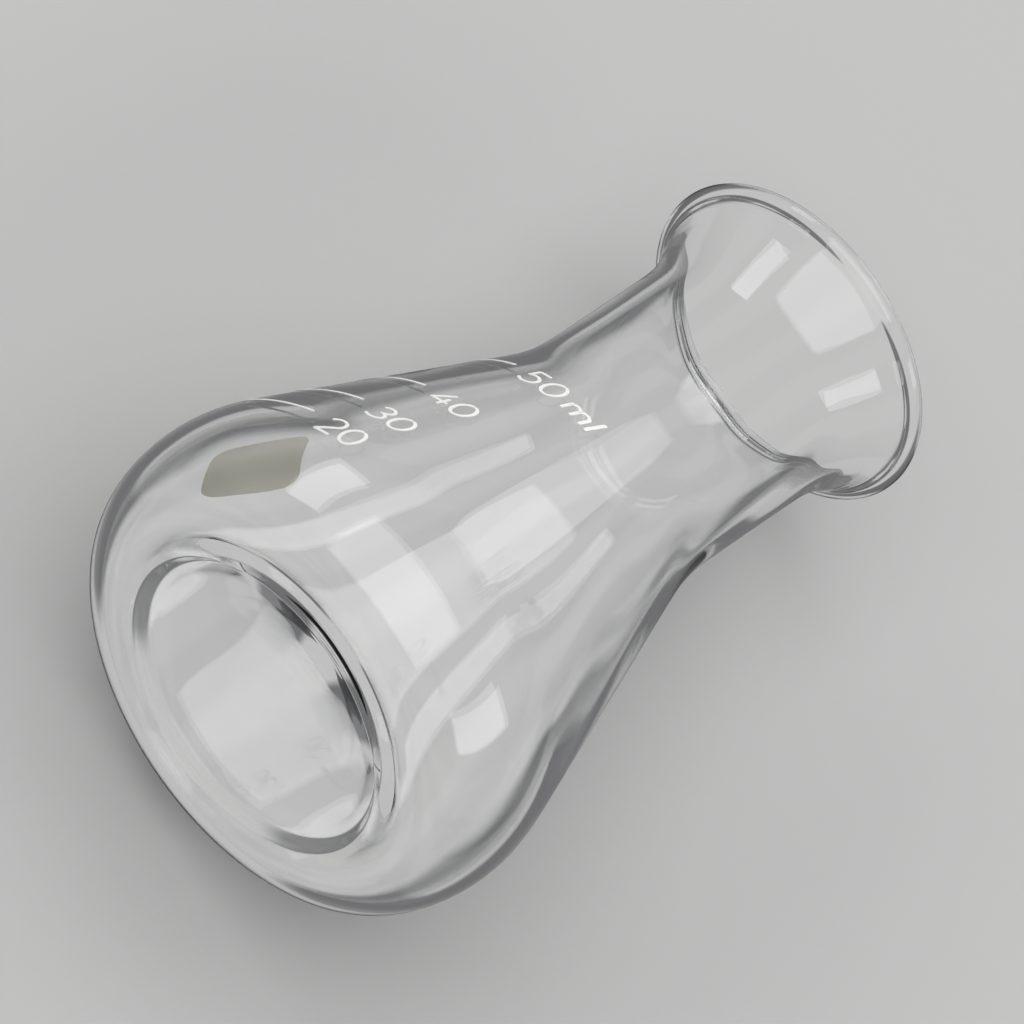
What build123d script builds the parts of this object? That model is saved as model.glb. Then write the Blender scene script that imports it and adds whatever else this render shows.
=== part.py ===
"""A 50 ml conical laboratory flask of blown glass, with fired enamel marks, in millimetres.

The flask stands on its base ring at z = 0, and +Z runs up its axis to the mouth.
Azimuths are in degrees about +Z from the front, which is -Y, and grow towards +X.
"""

import os
from math import acos, cos, degrees, radians, sin, sqrt

from build123d import *

# Outside of the glass
body_diameter = 51.0
total_height = 75.0
neck_diameter = 25.8
mouth_diameter = 34.0
cone_half_angle = 19.65
heel_radius = 5.5
side_radius = 15.8
heel_split_angle = 23.0
shoulder_radius = 18.3
flare_radius = 12.0
rim_bead_radius = 0.95
bead_blend_radius = 0.6

# Thickness of the glass
wall = 1.3
floor_crown_radius = 60.0

# Recess pushed up into the underside, which leaves the flask standing on a ring
standing_ring_width = 3.5
punt_depth = 1.3
punt_step_width = 1.0
punt_lip_radius = 0.6
punt_crown = 0.3

# Fired enamel marks on the outside
enamel_thickness = 0.08
enamel_clearance = 0.03
scale_azimuth = -46.0
graduations = [20, 30, 40, 50]
top_line_below_neck = 10.9
line_length = 9.0
line_width = 0.35
line_gap_to_centre = 2.1
patch_azimuth = -116.5
patch_width = 9.2
patch_height = 10.0
patch_corner_radius = 1.8
patch_centre_height = 22.0

# How closely a filling height is worked out
height_tolerance = 0.01


def on_circle(centre, radius, angle):
    """The point of a circle in the profile plane at an angle in degrees above +X."""
    return (
        centre[0] + radius * cos(radians(angle)),
        centre[1] + radius * sin(radians(angle)),
    )


def angle_towards(centre, point):
    """The direction of a point from a centre, in degrees above +X."""
    direction = Vector(point[0] - centre[0], point[1] - centre[1])
    return Vector(1, 0).get_signed_angle(direction, Vector(0, 0, 1))


# The outside is a chain of tangent arcs: heel, side, cone, shoulder, neck and flare
body_radius = body_diameter / 2
neck_radius = neck_diameter / 2
side_centre = (
    body_radius - side_radius,
    heel_radius + (side_radius - heel_radius) * sin(radians(heel_split_angle)),
)
heel_centre = on_circle(side_centre, side_radius - heel_radius, -heel_split_angle)
cone_foot = on_circle(side_centre, side_radius, cone_half_angle)
shoulder_reach = neck_radius + shoulder_radius - cone_foot[0]
shoulder_height = cone_foot[1] + (
    shoulder_radius - shoulder_reach * cos(radians(cone_half_angle))
) / sin(radians(cone_half_angle))
shoulder_centre = (neck_radius + shoulder_radius, shoulder_height)

# The flare ends where the middle of its wall reaches the centre of the rim's bead
bead_centre = (mouth_diameter / 2 - rim_bead_radius, total_height - rim_bead_radius)
flare_middle_radius = flare_radius + wall / 2
flare_reach = neck_radius + flare_radius - bead_centre[0]
flare_angle = degrees(acos(flare_reach / flare_middle_radius))
flare_height = bead_centre[1] - flare_middle_radius * sin(radians(flare_angle))
flare_centre = (neck_radius + flare_radius, flare_height)

# The wall is as thick round the heel as above it, and the floor's dome is tangent to the heel
inner_side_radius = side_radius - wall
inner_heel_radius = heel_radius - wall
floor_drop = sqrt((floor_crown_radius + inner_heel_radius) ** 2 - heel_centre[0] ** 2)
floor_centre = (0, heel_centre[1] - floor_drop)
floor_crown_height = floor_centre[1] + floor_crown_radius
inner_heel_bottom = angle_towards(heel_centre, floor_centre)
floor_edge_angle = angle_towards(floor_centre, heel_centre)


def outside_lines(offset):
    """The outside from the standing ring to the flare's end, moved outwards by an offset."""
    offset_side = side_radius + offset
    offset_shoulder = shoulder_radius - offset
    CenterArc(heel_centre, heel_radius + offset, -90, 90 - heel_split_angle)
    CenterArc(side_centre, offset_side, -heel_split_angle, heel_split_angle + cone_half_angle)
    Line(
        on_circle(side_centre, offset_side, cone_half_angle),
        on_circle(shoulder_centre, offset_shoulder, 180 + cone_half_angle),
    )
    CenterArc(shoulder_centre, offset_shoulder, 180 + cone_half_angle, -cone_half_angle)
    Line((neck_radius + offset, shoulder_height), (neck_radius + offset, flare_height))
    CenterArc(flare_centre, flare_radius - offset, 180, -flare_angle)


def inside_lines():
    """The inside from the flare's end down to the middle of the floor."""
    inner_neck_radius = neck_radius - wall
    inner_shoulder = shoulder_radius + wall
    CenterArc(flare_centre, flare_radius + wall, 180 - flare_angle, flare_angle)
    Line((inner_neck_radius, flare_height), (inner_neck_radius, shoulder_height))
    CenterArc(shoulder_centre, inner_shoulder, 180, cone_half_angle)
    Line(
        on_circle(shoulder_centre, inner_shoulder, 180 + cone_half_angle),
        on_circle(side_centre, inner_side_radius, cone_half_angle),
    )
    CenterArc(side_centre, inner_side_radius, cone_half_angle, -heel_split_angle - cone_half_angle)
    CenterArc(
        heel_centre,
        inner_heel_radius,
        -heel_split_angle,
        inner_heel_bottom + heel_split_angle,
    )
    CenterArc(floor_centre, floor_crown_radius, floor_edge_angle, 90 - floor_edge_angle)


# The glass, one blown piece: floor, heel, cone, neck, flare and the bead of the rim
punt_radius = heel_centre[0] - standing_ring_width
ceiling_radius = punt_radius - punt_step_width
inner_flare_end = on_circle(flare_centre, flare_radius + wall, 180 - flare_angle)
with BuildPart() as flask_body:
    with BuildSketch(Plane.XZ) as glass_section:
        with BuildLine():
            outside_lines(0)
            Line(on_circle(flare_centre, flare_radius, 180 - flare_angle), inner_flare_end)
            inside_lines()
            Line((0, floor_crown_height), (0, punt_depth + punt_crown))
            Line((0, punt_depth + punt_crown), (ceiling_radius, punt_depth))
            Line((ceiling_radius, punt_depth), (punt_radius, 0))
            Line((punt_radius, 0), (heel_centre[0], 0))
        make_face()
        with Locations(bead_centre):
            Circle(rim_bead_radius)
        step_corners = glass_section.vertices().filter_by(
            lambda v: min(
                (Vector(v.X, v.Y) - Vector(ceiling_radius, punt_depth)).length,
                (Vector(v.X, v.Y) - Vector(punt_radius, 0)).length,
            )
            < height_tolerance
        )
        fillet(step_corners, punt_lip_radius)
        bead_corners = glass_section.vertices().filter_by(
            lambda v: v.Y < bead_centre[1]
            and abs((Vector(v.X, v.Y) - Vector(*bead_centre)).length - rim_bead_radius)
            < height_tolerance
        )
        fillet(bead_corners, bead_blend_radius)
    revolve(axis=Axis.Z)
flask_body.part.label = "flask_body"

# The space inside up to the flare's end, which gives the heights of the graduations
with BuildPart() as space_inside:
    with BuildSketch(Plane.XZ):
        with BuildLine():
            inside_lines()
            Line(inner_flare_end, (0, inner_flare_end[1]))
            Line((0, inner_flare_end[1]), (0, floor_crown_height))
        make_face()
    revolve(axis=Axis.Z)


def volume_below(height):
    """The volume of liquid that fills the flask to a height."""
    below = split(space_inside.part, bisect_by=Plane.XY.offset(height), keep=Keep.BOTTOM)
    return below.volume


def fill_height(volume):
    """The height that a volume of liquid reaches, found by halving the range."""
    low = floor_crown_height
    high = total_height
    while high - low > height_tolerance:
        middle = (low + high) / 2
        if volume_below(middle) < volume:
            low = middle
        else:
            high = middle
    return high


def facing(azimuth, height):
    """A plane through the axis at a height, which faces outwards at an azimuth."""
    turn = radians(azimuth)
    return Plane(
        origin=(0, 0, height),
        x_dir=(cos(turn), sin(turn), 0),
        z_dir=(sin(turn), -cos(turn), 0),
    )


# A skin of enamel over the whole outside, which each mark is cut from
enamel_outside = enamel_clearance + enamel_thickness
with BuildPart() as enamel_skin:
    with BuildSketch(Plane.XZ):
        with BuildLine():
            outside_lines(enamel_clearance)
            outside_lines(enamel_outside)
            Line((heel_centre[0], -enamel_clearance), (heel_centre[0], -enamel_outside))
            Line(
                on_circle(flare_centre, flare_radius - enamel_clearance, 180 - flare_angle),
                on_circle(flare_centre, flare_radius - enamel_outside, 180 - flare_angle),
            )
        make_face()
    revolve(axis=Axis.Z)

# The matt patch for writing on
with BuildPart() as writing_patch:
    add(enamel_skin.part)
    with BuildSketch(facing(patch_azimuth, patch_centre_height)):
        RectangleRounded(patch_width, patch_height, patch_corner_radius)
    extrude(amount=body_diameter, mode=Mode.INTERSECT)
writing_patch.part.label = "writing_patch"

# The graduation lines of the scale, left of where its numbers stand. The top line marks the
# whole capacity, and each of the others its share of that volume
graduation_lines = []
line_centre = -(line_gap_to_centre + line_length / 2)
capacity = volume_below(shoulder_height - top_line_below_neck)
print("capacity at the top line", round(capacity / 1000, 2), "ml")
for millilitres in graduations:
    height = fill_height(capacity * millilitres / graduations[-1])
    print("graduation", millilitres, "ml at height", round(height, 2))
    with BuildPart() as graduation_line:
        add(enamel_skin.part)
        with BuildSketch(facing(scale_azimuth, height)):
            with Locations((line_centre, 0)):
                Rectangle(line_length, line_width)
        extrude(amount=body_diameter, mode=Mode.INTERSECT)
    graduation_line.part.label = f"front_line_{millilitres}"
    graduation_lines.append(graduation_line.part)

os.makedirs("parts", exist_ok=True)
for piece in [flask_body.part, writing_patch.part, *graduation_lines]:
    export_step(piece, f"parts/{piece.label}.step")
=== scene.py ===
"""The looks of a small conical flask of blown glass with fired enamel marks, in a pale studio."""

import math

import bpy
import numpy as np
from mathutils import Matrix, Vector


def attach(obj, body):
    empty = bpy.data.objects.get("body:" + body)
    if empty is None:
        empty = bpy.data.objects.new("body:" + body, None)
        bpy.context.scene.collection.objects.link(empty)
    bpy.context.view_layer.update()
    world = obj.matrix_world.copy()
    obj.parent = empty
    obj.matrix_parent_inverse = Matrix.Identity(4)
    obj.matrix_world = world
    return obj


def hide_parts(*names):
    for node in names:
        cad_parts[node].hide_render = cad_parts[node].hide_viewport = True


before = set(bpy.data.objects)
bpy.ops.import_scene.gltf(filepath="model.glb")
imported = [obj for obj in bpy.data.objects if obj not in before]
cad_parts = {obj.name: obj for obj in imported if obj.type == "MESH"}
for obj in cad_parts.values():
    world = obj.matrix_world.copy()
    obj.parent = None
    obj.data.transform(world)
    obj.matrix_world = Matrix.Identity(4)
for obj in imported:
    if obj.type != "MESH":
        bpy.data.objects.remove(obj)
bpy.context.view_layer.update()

MM = 0.001

# The glass, in millimetres: the same driving sizes as the solids
BODY_DIAMETER = 51.0
TOTAL_HEIGHT = 75.0
NECK_DIAMETER = 25.8
MOUTH_DIAMETER = 34.0
CONE_HALF_ANGLE = math.radians(19.65)
HEEL_RADIUS = 5.5
SIDE_RADIUS = 15.8
HEEL_SPLIT = math.radians(23.0)
SHOULDER_RADIUS = 18.3
FLARE_RADIUS = 12.0
BEAD_RADIUS = 0.95
WALL = 1.3
FLOOR_RADIUS = 60.0
RING_WIDTH = 3.5
PUNT_DEPTH = 1.3
PUNT_STEP = 1.0
PUNT_CROWN = 0.3

# How finely the glass is meshed, in millimetres and in degrees
FINE_STEP = 0.04
LONGEST_STEP = 0.9
SHARPEST_TURN = math.radians(7)
CORNER_SOFTNESS = 0.16
BEND_SOFTNESS = 1.5
AROUND = 160

# How the inside of the blown wall strays from round. Each wave has a count round the axis, a
# length up it in millimetres and a phase
WAVES = [(2, 90, 0.4), (3, -55, 1.9), (5, 38, 3.1), (7, -30, 0.9), (9, 24, 5.0)]
WAVE_CALM = 0.035
WAVE_STRONG = 0.11
WAVY_SIDE = math.radians(-35)
WAVE_SPREAD = math.radians(40)
WAVE_GROWTH = 4
POINTS_PAST_RIM = 16

# The enamel, in millimetres and degrees
ENAMEL_LIFT = 0.015
ENAMEL_THICKNESS = 0.06
SCALE_AZIMUTH = -46.0
LINE_LENGTH = 9.0
LINE_WIDTH = 0.35
LINE_GAP = 2.1
PATCH_AZIMUTH = -116.5
PATCH_WIDTH = 9.2
PATCH_HEIGHT = 10.0
PATCH_CORNER = 1.8
PATCH_CENTRE = 22.0
NUMBER_LEFT = 0.2
NUMBER_HEIGHT = 3.2
NUMBER_DROP = 0.9
STROKE = 0.34
STROKE_STEP = 0.12
STROKE_END = 0.15
BEND_STEP = 12
LINE_POINTS = 19
PATCH_COLUMNS = 17
PATCH_STRAIGHT_POINTS = 9
PATCH_CORNER_POINTS = 7

# The finishes
GLASS_COLOR = (0.985, 0.99, 0.988)
GLASS_IOR = 1.473
PATCH_COLOR = (0.88, 0.87, 0.80)
PATCH_TRANSLUCENCY = 0.6
PRINT_COLOR = (0.88, 0.88, 0.86)
PRINT_TRANSLUCENCY = 0.0
ENAMEL_ROUGHNESS = 0.6


def arc(centre, radius, start, end):
    """Points along an arc of the profile, from one angle to another."""
    count = max(2, round(abs(end - start) * radius / FINE_STEP) + 1)
    angles = np.linspace(start, end, count)
    return np.stack([centre[0] + radius * np.cos(angles), centre[1] + radius * np.sin(angles)], 1)


def line(start, end):
    """Points along a straight stretch of the profile."""
    count = max(2, round(math.dist(start, end) / FINE_STEP) + 1)
    share = np.linspace(0, 1, count)[:, None]
    return np.array(start) * (1 - share) + np.array(end) * share


def on_circle(centre, radius, angle):
    """The point of a circle of the profile at an angle."""
    return (centre[0] + radius * math.cos(angle), centre[1] + radius * math.sin(angle))


# Centres of the tangent arcs, worked out as in the solids
BODY_RADIUS = BODY_DIAMETER / 2
NECK_RADIUS = NECK_DIAMETER / 2
SIDE_CENTRE = (
    BODY_RADIUS - SIDE_RADIUS,
    HEEL_RADIUS + (SIDE_RADIUS - HEEL_RADIUS) * math.sin(HEEL_SPLIT),
)
HEEL_CENTRE = on_circle(SIDE_CENTRE, SIDE_RADIUS - HEEL_RADIUS, -HEEL_SPLIT)
PUNT_RADIUS = HEEL_CENTRE[0] - RING_WIDTH
INNER_HEEL_RADIUS = HEEL_RADIUS - WALL
FLOOR_DROP = math.sqrt((FLOOR_RADIUS + INNER_HEEL_RADIUS) ** 2 - HEEL_CENTRE[0] ** 2)
FLOOR_CENTRE = (0.0, HEEL_CENTRE[1] - FLOOR_DROP)
CONE_FOOT = on_circle(SIDE_CENTRE, SIDE_RADIUS, CONE_HALF_ANGLE)
SHOULDER_REACH = NECK_RADIUS + SHOULDER_RADIUS - CONE_FOOT[0]
SHOULDER_HEIGHT = CONE_FOOT[1] + (
    SHOULDER_RADIUS - SHOULDER_REACH * math.cos(CONE_HALF_ANGLE)
) / math.sin(CONE_HALF_ANGLE)
SHOULDER_CENTRE = (NECK_RADIUS + SHOULDER_RADIUS, SHOULDER_HEIGHT)
BEAD_CENTRE = (MOUTH_DIAMETER / 2 - BEAD_RADIUS, TOTAL_HEIGHT - BEAD_RADIUS)
FLARE_MIDDLE = FLARE_RADIUS + WALL / 2
FLARE_ANGLE = math.acos((NECK_RADIUS + FLARE_RADIUS - BEAD_CENTRE[0]) / FLARE_MIDDLE)
FLARE_CENTRE = (NECK_RADIUS + FLARE_RADIUS, BEAD_CENTRE[1] - FLARE_MIDDLE * math.sin(FLARE_ANGLE))


def outside_profile():
    """The outside from the standing ring up to the flare's end."""
    top = on_circle(SHOULDER_CENTRE, SHOULDER_RADIUS, math.pi + CONE_HALF_ANGLE)
    return np.concatenate(
        [
            arc(HEEL_CENTRE, HEEL_RADIUS, -math.pi / 2, -HEEL_SPLIT),
            arc(SIDE_CENTRE, SIDE_RADIUS, -HEEL_SPLIT, CONE_HALF_ANGLE),
            line(CONE_FOOT, top),
            arc(SHOULDER_CENTRE, SHOULDER_RADIUS, math.pi + CONE_HALF_ANGLE, math.pi),
            line((NECK_RADIUS, SHOULDER_HEIGHT), (NECK_RADIUS, FLARE_CENTRE[1])),
            arc(FLARE_CENTRE, FLARE_RADIUS, math.pi, math.pi - FLARE_ANGLE),
        ]
    )


def inside_profile():
    """The inside from the flare's end down to the middle of the floor."""
    inner_side = SIDE_RADIUS - WALL
    inner_shoulder = SHOULDER_RADIUS + WALL
    heel_foot = math.atan2(FLOOR_CENTRE[1] - HEEL_CENTRE[1], -HEEL_CENTRE[0])
    floor_edge = heel_foot + math.pi
    return np.concatenate(
        [
            arc(FLARE_CENTRE, FLARE_RADIUS + WALL, math.pi - FLARE_ANGLE, math.pi),
            line((NECK_RADIUS - WALL, FLARE_CENTRE[1]), (NECK_RADIUS - WALL, SHOULDER_HEIGHT)),
            arc(SHOULDER_CENTRE, inner_shoulder, math.pi, math.pi + CONE_HALF_ANGLE),
            line(
                on_circle(SHOULDER_CENTRE, inner_shoulder, math.pi + CONE_HALF_ANGLE),
                on_circle(SIDE_CENTRE, inner_side, CONE_HALF_ANGLE),
            ),
            arc(SIDE_CENTRE, inner_side, CONE_HALF_ANGLE, -HEEL_SPLIT),
            arc(HEEL_CENTRE, INNER_HEEL_RADIUS, -HEEL_SPLIT, heel_foot),
            arc(FLOOR_CENTRE, FLOOR_RADIUS, floor_edge, math.pi / 2),
        ]
    )


def bead_profile(outer_end, inner_end):
    """The rim's bead, from where the outside meets it round to where the inside does."""

    def crossing(points):
        away = np.hypot(points[:, 0] - BEAD_CENTRE[0], points[:, 1] - BEAD_CENTRE[1])
        return np.argmin(np.abs(away - BEAD_RADIUS))

    out_at = crossing(outer_end)
    in_at = crossing(inner_end)
    start = math.atan2(outer_end[out_at][1] - BEAD_CENTRE[1], outer_end[out_at][0] - BEAD_CENTRE[0])
    end = math.atan2(inner_end[in_at][1] - BEAD_CENTRE[1], inner_end[in_at][0] - BEAD_CENTRE[0])
    if end < start:
        end += 2 * math.pi
    return out_at, in_at, arc(BEAD_CENTRE, BEAD_RADIUS, start, end)


def glass_profile():
    """The whole section of the glass, from under the middle of the base round to its floor."""
    ceiling_radius = PUNT_RADIUS - PUNT_STEP
    share = np.linspace(0, 1, round(ceiling_radius / FINE_STEP) + 1)
    ceiling = np.stack([ceiling_radius * share, PUNT_DEPTH + PUNT_CROWN * (1 - share)], 1)
    underside = np.concatenate(
        [
            ceiling,
            line((ceiling_radius, PUNT_DEPTH), (PUNT_RADIUS, 0)),
            line((PUNT_RADIUS, 0), (HEEL_CENTRE[0], 0)),
        ]
    )
    outside = outside_profile()
    inside = inside_profile()
    out_at, in_at, bead = bead_profile(outside, inside)
    return np.concatenate([underside, outside[: out_at + 1], bead, inside[in_at:]])


def even_steps(points, step):
    """The same line with evenly spaced points."""
    gaps = np.hypot(*np.diff(points, axis=0).T)
    keep = np.concatenate([[True], gaps > 1e-6])
    points = points[keep]
    length = np.concatenate([[0], np.cumsum(np.hypot(*np.diff(points, axis=0).T))])
    at = np.linspace(0, length[-1], round(length[-1] / step) + 1)
    return np.stack([np.interp(at, length, points[:, 0]), np.interp(at, length, points[:, 1])], 1)


def soften(points, spread):
    """Rounds the corners of an evenly stepped line, with its ends held."""
    half = int(4 * spread / FINE_STEP)
    weights = np.exp(-0.5 * (np.arange(-half, half + 1) * FINE_STEP / spread) ** 2)
    weights /= weights.sum()
    padded = np.concatenate(
        [2 * points[0] - points[half:0:-1], points, 2 * points[-1] - points[-2 : -half - 2 : -1]]
    )
    return np.stack([np.convolve(padded[:, k], weights, mode="valid") for k in (0, 1)], 1)


def thin_out(points):
    """Keeps the points that the mesh needs, close in the bends and far apart elsewhere."""
    kept = [0]
    ahead = np.diff(points, axis=0)
    heading = np.unwrap(np.arctan2(ahead[:, 1], ahead[:, 0]))
    for i in range(1, len(points) - 1):
        run = (i - kept[-1]) * FINE_STEP
        if run >= LONGEST_STEP or abs(heading[i] - heading[kept[-1]]) >= SHARPEST_TURN:
            kept.append(i)
    kept.append(len(points) - 1)
    return points[kept]


def new_object(name, vertices, faces, smooth=True):
    """A mesh object in the scene, from points in metres."""
    mesh = bpy.data.meshes.new(name)
    mesh.from_pydata([tuple(v) for v in vertices], [], faces)
    mesh.validate()
    mesh.polygons.foreach_set("use_smooth", [smooth] * len(mesh.polygons))
    mesh.update()
    piece = bpy.data.objects.new(name, mesh)
    bpy.context.scene.collection.objects.link(piece)
    return piece


def waviness(turns, height):
    """How far the inside of the blown wall strays from round at some height, in millimetres."""
    away = np.angle(np.exp(1j * (turns - WAVY_SIDE)))
    strength = WAVE_CALM + (WAVE_STRONG - WAVE_CALM) * np.exp(-0.5 * (away / WAVE_SPREAD) ** 2)
    wave = np.zeros(len(turns))
    for count, length, phase in WAVES:
        wave += np.sin(count * turns + 2 * math.pi * height / length + phase)
    return strength * wave / len(WAVES)


def revolve(name, points):
    """A solid of revolution about the axis from a profile whose two ends lie on the axis."""
    turns = np.linspace(0, 2 * math.pi, AROUND, endpoint=False)
    rings = points[1:-1]
    inner_start = np.argmax(points[:, 1]) + POINTS_PAST_RIM
    vertices = [(0, 0, points[0][1])]
    for i, (r, z) in enumerate(rings):
        if i > inner_start:
            r = r + waviness(turns, z) * min(1.0, r / WALL / WAVE_GROWTH)
        else:
            r = np.full(AROUND, r)
        vertices.extend(zip(r * np.cos(turns), r * np.sin(turns), np.full(AROUND, z)))
    vertices.append((0, 0, points[-1][1]))
    faces = []
    for k in range(AROUND):
        n = (k + 1) % AROUND
        faces.append((0, 1 + n, 1 + k))
        for i in range(len(rings) - 1):
            a = 1 + i * AROUND
            b = a + AROUND
            faces.append((a + k, a + n, b + n, b + k))
        last = 1 + (len(rings) - 1) * AROUND
        faces.append((last + k, last + n, len(vertices) - 1))
    return new_object(name, np.array(vertices, float) * MM, faces)


def ease_bends(points):
    """Spreads the bends between the arcs, as blown glass has them, away from the punt and rim."""
    wide = soften(points, BEND_SOFTNESS)
    from_punt = np.hypot(points[:, 0] - PUNT_RADIUS, points[:, 1])
    from_rim = np.hypot(points[:, 0] - BEAD_CENTRE[0], points[:, 1] - BEAD_CENTRE[1])
    near = np.minimum(from_punt - RING_WIDTH / 2, from_rim - 3 * BEAD_RADIUS)
    share = np.clip(near / BEND_SOFTNESS, 0, 1)[:, None]
    share = share * share * (3 - 2 * share)
    eased = points * (1 - share) + wide * share
    eased[:, 1] = np.maximum(eased[:, 1], 0)
    return eased


profile = ease_bends(soften(even_steps(glass_profile(), FINE_STEP), CORNER_SOFTNESS))
profile = thin_out(profile)
profile[0][0] = 0
profile[-1][0] = 0
glass = revolve("blown_glass", profile)


# Enamel
OUTSIDE = outside_profile()


def wall_radius(height):
    """The radius of the outside at a height between the heel and the flare."""
    return np.interp(height, OUTSIDE[:, 1], OUTSIDE[:, 0])


def on_wall(azimuth, x, z, lift):
    """The point of the outside that a print x to the right and at a height z covers, in metres."""
    radius = wall_radius(z)
    turn = math.radians(azimuth) + math.asin(x / radius)
    radius += lift
    return (radius * math.sin(turn) * MM, -radius * math.cos(turn) * MM, z * MM)


def wrap(name, azimuth, loops):
    """Thin prints on the glass, each a grid of rows of (x, z) points closed into a solid."""
    vertices = []
    faces = []
    for rows in loops:
        count = len(rows)
        width = len(rows[0])
        base = len(vertices)
        for lift in (ENAMEL_LIFT, ENAMEL_LIFT + ENAMEL_THICKNESS):
            for row in rows:
                vertices.extend(on_wall(azimuth, x, z, lift) for x, z in row)
        low = lambda i, j: base + i * width + j
        high = lambda i, j: base + count * width + i * width + j
        for i in range(count - 1):
            for j in range(width - 1):
                faces.append((high(i, j), high(i, j + 1), high(i + 1, j + 1), high(i + 1, j)))
                faces.append((low(i, j), low(i + 1, j), low(i + 1, j + 1), low(i, j + 1)))
        for j in range(width - 1):
            faces.append((low(0, j), low(0, j + 1), high(0, j + 1), high(0, j)))
            last = count - 1
            faces.append((low(last, j), high(last, j), high(last, j + 1), low(last, j + 1)))
        for i in range(count - 1):
            faces.append((low(i, 0), high(i, 0), high(i + 1, 0), low(i + 1, 0)))
            end = width - 1
            faces.append((low(i, end), low(i + 1, end), high(i + 1, end), high(i, end)))
    return new_object(name, vertices, faces, smooth=False)


def bend(x, z, width, height, start, end):
    """Points of an oval stretch of a stroke, with its angles in degrees."""
    angles = np.radians(np.linspace(start, end, max(3, round(abs(end - start) / BEND_STEP) + 1)))
    return [(x + width * math.cos(t), z + height * math.sin(t)) for t in angles]


# Each sign is a list of strokes in a box one unit high
SIGNS = {
    "0": [bend(0.33, 0.5, 0.29, 0.47, 90, 450)],
    "2": [bend(0.33, 0.68, 0.28, 0.29, 165, -35) + [(0.05, 0.03), (0.62, 0.03)]],
    "3": [
        bend(0.31, 0.74, 0.25, 0.23, 150, -90) + bend(0.31, 0.27, 0.29, 0.24, 90, -150),
    ],
    "4": [[(0.44, 0.97), (0.03, 0.30), (0.66, 0.30)], [(0.48, 0.62), (0.48, 0.03)]],
    "5": [[(0.57, 0.97), (0.14, 0.97), (0.10, 0.54)] + bend(0.30, 0.33, 0.29, 0.30, 125, -150)],
    "m": [
        [(0.03, 0.03), (0.03, 0.62)],
        [(0.03, 0.42)] + bend(0.20, 0.42, 0.17, 0.20, 180, 0) + [(0.37, 0.03)],
        [(0.37, 0.42)] + bend(0.54, 0.42, 0.17, 0.20, 180, 0) + [(0.71, 0.03)],
    ],
    "l": [[(0.05, 0.03), (0.05, 0.97)]],
}
SIGN_STEP = {" ": 0.2, "m": 0.88, "l": 0.3}


def stroke_rows(points, width):
    """Rows of three points across a stroke, with rounded ends."""
    points = even_steps(np.array(points), STROKE_STEP)
    ahead = np.gradient(points, axis=0)
    ahead /= np.hypot(ahead[:, 0], ahead[:, 1])[:, None]
    aside = np.stack([ahead[:, 1], -ahead[:, 0]], 1)
    run = np.concatenate([[0], np.cumsum(np.hypot(*np.diff(points, axis=0).T))])
    from_end = np.minimum(run, run[-1] - run) / (width / 2)
    half = width / 2 * np.sqrt(np.clip(1 - (1 - np.minimum(from_end, 1)) ** 2, STROKE_END, 1))
    return [[tuple(p - a * h), tuple(p), tuple(p + a * h)] for p, a, h in zip(points, aside, half)]


def lettering(text, x, z, height, width):
    """Stroke rows for a short text that starts at x, with the middle of its height at z."""
    rows = []
    for sign in text:
        for stroke in SIGNS.get(sign, []):
            path = [(x + px * height, z + (pz - 0.5) * height) for px, pz in stroke]
            rows.append(stroke_rows(path, width))
        x += SIGN_STEP.get(sign, 0.78) * height
    return rows


def height_of(node):
    """The height of the middle of a CAD node, in millimetres."""
    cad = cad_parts[node]
    corners = [cad.matrix_world @ Vector(corner) for corner in cad.bound_box]
    return (min(c.z for c in corners) + max(c.z for c in corners)) / 2 / MM


def patch_rows():
    """Rows of points over the patch, whose corners are round."""
    rows = []
    straight = PATCH_HEIGHT / 2 - PATCH_CORNER
    rounding = np.sin(np.linspace(0, math.pi / 2, PATCH_CORNER_POINTS)) * PATCH_CORNER
    between = np.linspace(-straight, straight, PATCH_STRAIGHT_POINTS)[1:-1]
    for step in np.concatenate([-straight - rounding[::-1], between, straight + rounding]):
        beyond = min(max(0.0, abs(step) - straight), PATCH_CORNER)
        half = PATCH_WIDTH / 2 - PATCH_CORNER + math.sqrt(PATCH_CORNER**2 - beyond**2)
        rows.append([(x, PATCH_CENTRE + step) for x in np.linspace(-half, half, PATCH_COLUMNS)])
    return rows


def line_rows(height):
    """Rows of points over a graduation line."""
    ends = np.linspace(-LINE_GAP - LINE_LENGTH, -LINE_GAP, LINE_POINTS)
    return [[(x, height + half) for x in ends] for half in (-LINE_WIDTH / 2, LINE_WIDTH / 2)]


numbers = []
lines = {}
for text in ("20", "30", "40", "50 ml"):
    node = f"front_line_{text[:2]}"
    height = height_of(node)
    rows = lettering(text, NUMBER_LEFT, height - NUMBER_DROP, NUMBER_HEIGHT, STROKE)
    numbers.append(wrap(f"number_{text[:2]}", SCALE_AZIMUTH, rows))
    lines[node] = wrap(f"printed_{node}", SCALE_AZIMUTH, [line_rows(height)])
patch = wrap("enamel_patch", PATCH_AZIMUTH, [patch_rows()])


def node_material(name):
    """A new material, with its nodes and links."""
    material = bpy.data.materials.new(name)
    material.use_nodes = True
    return material, material.node_tree.nodes, material.node_tree.links


def glass_material():
    """Clear, smooth glass."""
    material, nodes, _ = node_material("clear_borosilicate")
    shader = nodes["Principled BSDF"]
    shader.inputs["Base Color"].default_value = (*GLASS_COLOR, 1)
    shader.inputs["Transmission Weight"].default_value = 1.0
    shader.inputs["Roughness"].default_value = 0.0
    shader.inputs["IOR"].default_value = GLASS_IOR
    return material


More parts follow.
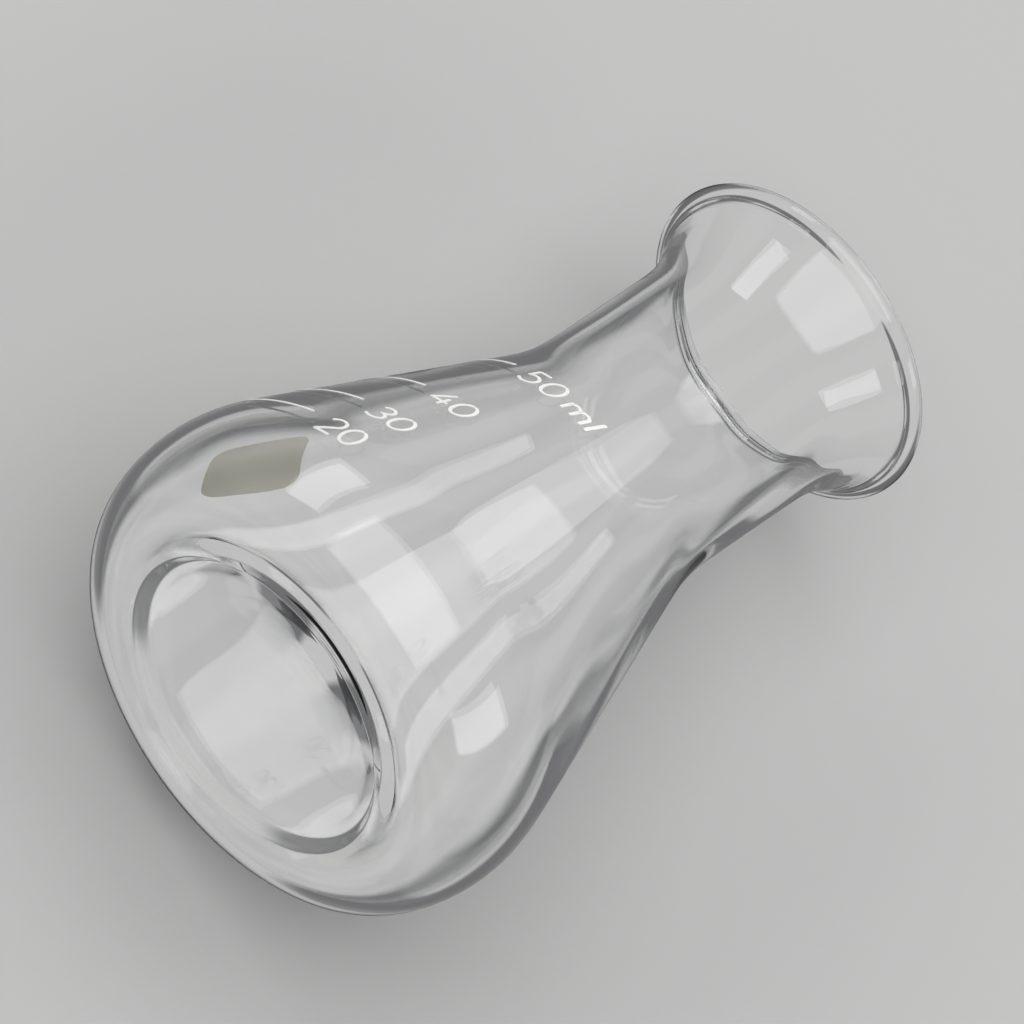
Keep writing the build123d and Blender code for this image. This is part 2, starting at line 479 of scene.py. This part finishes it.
def enamel_material(name, color, translucency):
    """Matt fired enamel, which lets some of the light behind it through."""
    material, nodes, links = node_material(name)
    shader = nodes["Principled BSDF"]
    shader.inputs["Base Color"].default_value = (*color, 1)
    shader.inputs["Roughness"].default_value = ENAMEL_ROUGHNESS
    behind = nodes.new("ShaderNodeBsdfTranslucent")
    behind.inputs["Color"].default_value = (*color, 1)
    both = nodes.new("ShaderNodeMixShader")
    both.inputs["Fac"].default_value = translucency
    links.new(shader.outputs[0], both.inputs[1])
    links.new(behind.outputs[0], both.inputs[2])
    links.new(both.outputs[0], nodes["Material Output"].inputs["Surface"])
    return material


glass.data.materials.append(glass_material())
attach(glass, "root")
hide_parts("flask_body")

patch_finish = enamel_material("matt_patch_enamel", PATCH_COLOR, PATCH_TRANSLUCENCY)
print_finish = enamel_material("white_print_enamel", PRINT_COLOR, PRINT_TRANSLUCENCY)
patch.data.materials.append(patch_finish)
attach(patch, "root")
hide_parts("writing_patch")
for piece in [*numbers, *lines.values()]:
    piece.data.materials.append(print_finish)
    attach(piece, "root")
for node, piece in lines.items():
    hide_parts(node)


# Camera, fitted to the photograph: it looks up at the base and along the flask
CAMERA_AT = Vector((0, -0.99227, -0.63733))
CAMERA_RIGHT = Vector((0.56181, -0.46418, 0.68477))
CAMERA_UP = Vector((-0.82726, -0.31637, 0.46427))
LENS = 446.2
SENSOR_WIDTH = 36

camera_data = bpy.data.cameras.new("camera")
camera_data.lens = LENS
camera_data.sensor_width = SENSOR_WIDTH
camera = bpy.data.objects.new("camera", camera_data)
back = CAMERA_RIGHT.cross(CAMERA_UP).normalized()
up = back.cross(CAMERA_RIGHT).normalized()
turn = Matrix((CAMERA_RIGHT.normalized(), up, back)).transposed()
camera.matrix_world = Matrix.Translation(CAMERA_AT) @ turn.to_4x4()
bpy.context.scene.collection.objects.link(camera)
bpy.context.scene.camera = camera


# Studio: a pale sheet that the flask lies on in the photograph, and a pale floor that it stands on
PALE = (0.56, 0.56, 0.555)
SURROUND = (0.16, 0.16, 0.165)
SHEET_LEAN = math.radians(7.62)
SHEET_TURN = math.radians(-3.5)
SHEET_DISTANCE = 26.70
SHEET_RADIUS = 110.0
FLOOR_RADIUS_SHOWN = 160.0
DISC_SIDES = 96
PANELS = 8
PANEL_EDGES = (-0.2, 0.5)
FADE_FROM = 0.045
FADE_TO = 0.085
MIDDLE = Vector((0, 0, TOTAL_HEIGHT / 2 * MM))


def stage_material(name, centre):
    """Pale and matt around the flask, fading into the plain background, and clear from behind."""
    material, nodes, links = node_material(name)
    shader = nodes["Principled BSDF"]
    shader.inputs["Base Color"].default_value = (*PALE, 1)
    shader.inputs["Roughness"].default_value = 1.0
    shader.inputs["Specular IOR Level"].default_value = 0.0
    geometry = nodes.new("ShaderNodeNewGeometry")
    away = nodes.new("ShaderNodeVectorMath")
    away.operation = "DISTANCE"
    away.inputs[1].default_value = centre
    links.new(geometry.outputs["Position"], away.inputs[0])
    fade = nodes.new("ShaderNodeMapRange")
    fade.interpolation_type = "SMOOTHSTEP"
    fade.inputs["From Min"].default_value = FADE_FROM
    fade.inputs["From Max"].default_value = FADE_TO
    links.new(away.outputs["Value"], fade.inputs["Value"])
    plain = nodes.new("ShaderNodeEmission")
    plain.inputs["Color"].default_value = (*PALE, 1)
    near_or_plain = nodes.new("ShaderNodeMixShader")
    links.new(fade.outputs["Result"], near_or_plain.inputs["Fac"])
    links.new(shader.outputs[0], near_or_plain.inputs[1])
    links.new(plain.outputs[0], near_or_plain.inputs[2])
    clear = nodes.new("ShaderNodeBsdfTransparent")
    one_sided = nodes.new("ShaderNodeMixShader")
    links.new(geometry.outputs["Backfacing"], one_sided.inputs["Fac"])
    links.new(near_or_plain.outputs[0], one_sided.inputs[1])
    links.new(clear.outputs[0], one_sided.inputs[2])
    links.new(one_sided.outputs[0], nodes["Material Output"].inputs["Surface"])
    return material


def disc(name, centre, normal, radius):
    """A flat round sheet that faces along its normal."""
    way = normal.to_track_quat("Z", "Y")
    turns = np.linspace(0, 2 * math.pi, DISC_SIDES, endpoint=False)
    rim = [
        centre + way @ Vector((radius * math.cos(t), radius * math.sin(t), 0)) * MM for t in turns
    ]
    sheet = new_object(name, rim, [tuple(range(DISC_SIDES))], smooth=False)
    sheet.visible_glossy = False
    sheet.visible_transmission = False
    sheet.visible_shadow = False
    return sheet


sheet_normal = Matrix.Rotation(SHEET_TURN, 3, "Z") @ Vector(
    (0, -math.cos(SHEET_LEAN), -math.sin(SHEET_LEAN))
)
sheet_point = sheet_normal * -SHEET_DISTANCE * MM
sheet_centre = MIDDLE - sheet_normal * (MIDDLE - sheet_point).dot(sheet_normal)
leaning_sheet = disc("leaning_sheet", sheet_centre, sheet_normal, SHEET_RADIUS)
leaning_sheet.data.materials.append(stage_material("pale_sheet", sheet_centre))
floor = disc("floor", Vector((0, 0, 0)), Vector((0, 0, 1)), FLOOR_RADIUS_SHOWN)
floor.data.materials.append(stage_material("pale_floor", (0, 0, 0)))
floor.visible_diffuse = False


# Each light has a direction from the flask, a width and height in metres and a radiance
LIGHT_DISTANCE = 1.0
LIGHTS = {
    "overhead": ((-0.12, -0.98, -0.22), (1.2, 1.3), 1.8),
    "mouth_side": ((0, -0.28, 0.96), (0.35, 0.6), 0.9),
    "right_side": ((0.86, -0.5, 0.1), (0.3, 0.8), 2.2),
    "left_side": ((-0.86, -0.5, 0.2), (0.3, 0.8), 2.2),
    "floor_light": ((0, 0, 1), (1.2, 1.2), 2.6),
}


def area_light(name, direction, size, radiance):
    """A softbox in a direction from the flask, with the brightness that its front shows."""
    data = bpy.data.lights.new(name, "AREA")
    data.shape = "RECTANGLE"
    data.size, data.size_y = size
    data.energy = radiance * math.pi * size[0] * size[1]
    light = bpy.data.objects.new(name, data)
    way = Vector(direction).normalized()
    facing = way.to_track_quat("Z", "Y").to_matrix().to_4x4()
    light.matrix_world = Matrix.Translation(MIDDLE + way * LIGHT_DISTANCE) @ facing
    light.visible_camera = False
    bpy.context.scene.collection.objects.link(light)
    return light


lamps = {name: area_light(name, *light) for name, light in LIGHTS.items()}

# The floor's light falls on matt surfaces alone, so the glass doesn't mirror it
lamps["floor_light"].visible_glossy = False
lamps["floor_light"].visible_transmission = False


def math_node(nodes, links, operation, *values):
    """A math node fed by numbers and by other nodes' outputs."""
    node = nodes.new("ShaderNodeMath")
    node.operation = operation
    for socket, value in zip(node.inputs, values):
        if isinstance(value, (int, float)):
            socket.default_value = value
        else:
            links.new(value, socket)
    return node.outputs[0]


def studio_world():
    """Plain and pale to the camera; the glass sees pale panels in front of and behind it."""
    world = bpy.data.worlds.new("studio")
    bpy.context.scene.world = world
    world.use_nodes = True
    nodes = world.node_tree.nodes
    links = world.node_tree.links
    around = nodes["Background"]
    around.inputs["Color"].default_value = (*SURROUND, 1)
    plain = nodes.new("ShaderNodeBackground")
    plain.inputs["Color"].default_value = (*PALE, 1)
    path = nodes.new("ShaderNodeLightPath")
    where = nodes.new("ShaderNodeTexCoord")
    split = nodes.new("ShaderNodeSeparateXYZ")
    links.new(where.outputs["Generated"], split.inputs[0])
    azimuth = math_node(nodes, links, "ARCTAN2", split.outputs[0], split.outputs[1])
    turned = math_node(nodes, links, "MULTIPLY", azimuth, PANELS)
    wave = math_node(nodes, links, "COSINE", turned)
    panels = nodes.new("ShaderNodeMapRange")
    panels.interpolation_type = "SMOOTHSTEP"
    panels.inputs["From Min"].default_value = PANEL_EDGES[0]
    panels.inputs["From Max"].default_value = PANEL_EDGES[1]
    links.new(wave, panels.inputs["Value"])
    through = math_node(
        nodes, links, "MULTIPLY", panels.outputs["Result"], path.outputs["Is Transmission Ray"]
    )
    pale = math_node(nodes, links, "MAXIMUM", through, path.outputs["Is Camera Ray"])
    seen = nodes.new("ShaderNodeMixShader")
    links.new(pale, seen.inputs["Fac"])
    links.new(around.outputs[0], seen.inputs[1])
    links.new(plain.outputs[0], seen.inputs[2])
    links.new(seen.outputs[0], nodes["World Output"].inputs["Surface"])


studio_world()

# Light travels far inside the glass of the base and the rim before it comes out
cycles = bpy.context.scene.cycles
cycles.max_bounces = 40
cycles.transmission_bounces = 40
cycles.glossy_bounces = 12
cycles.transparent_max_bounces = 16
bpy.context.scene.view_settings.view_transform = "Standard"
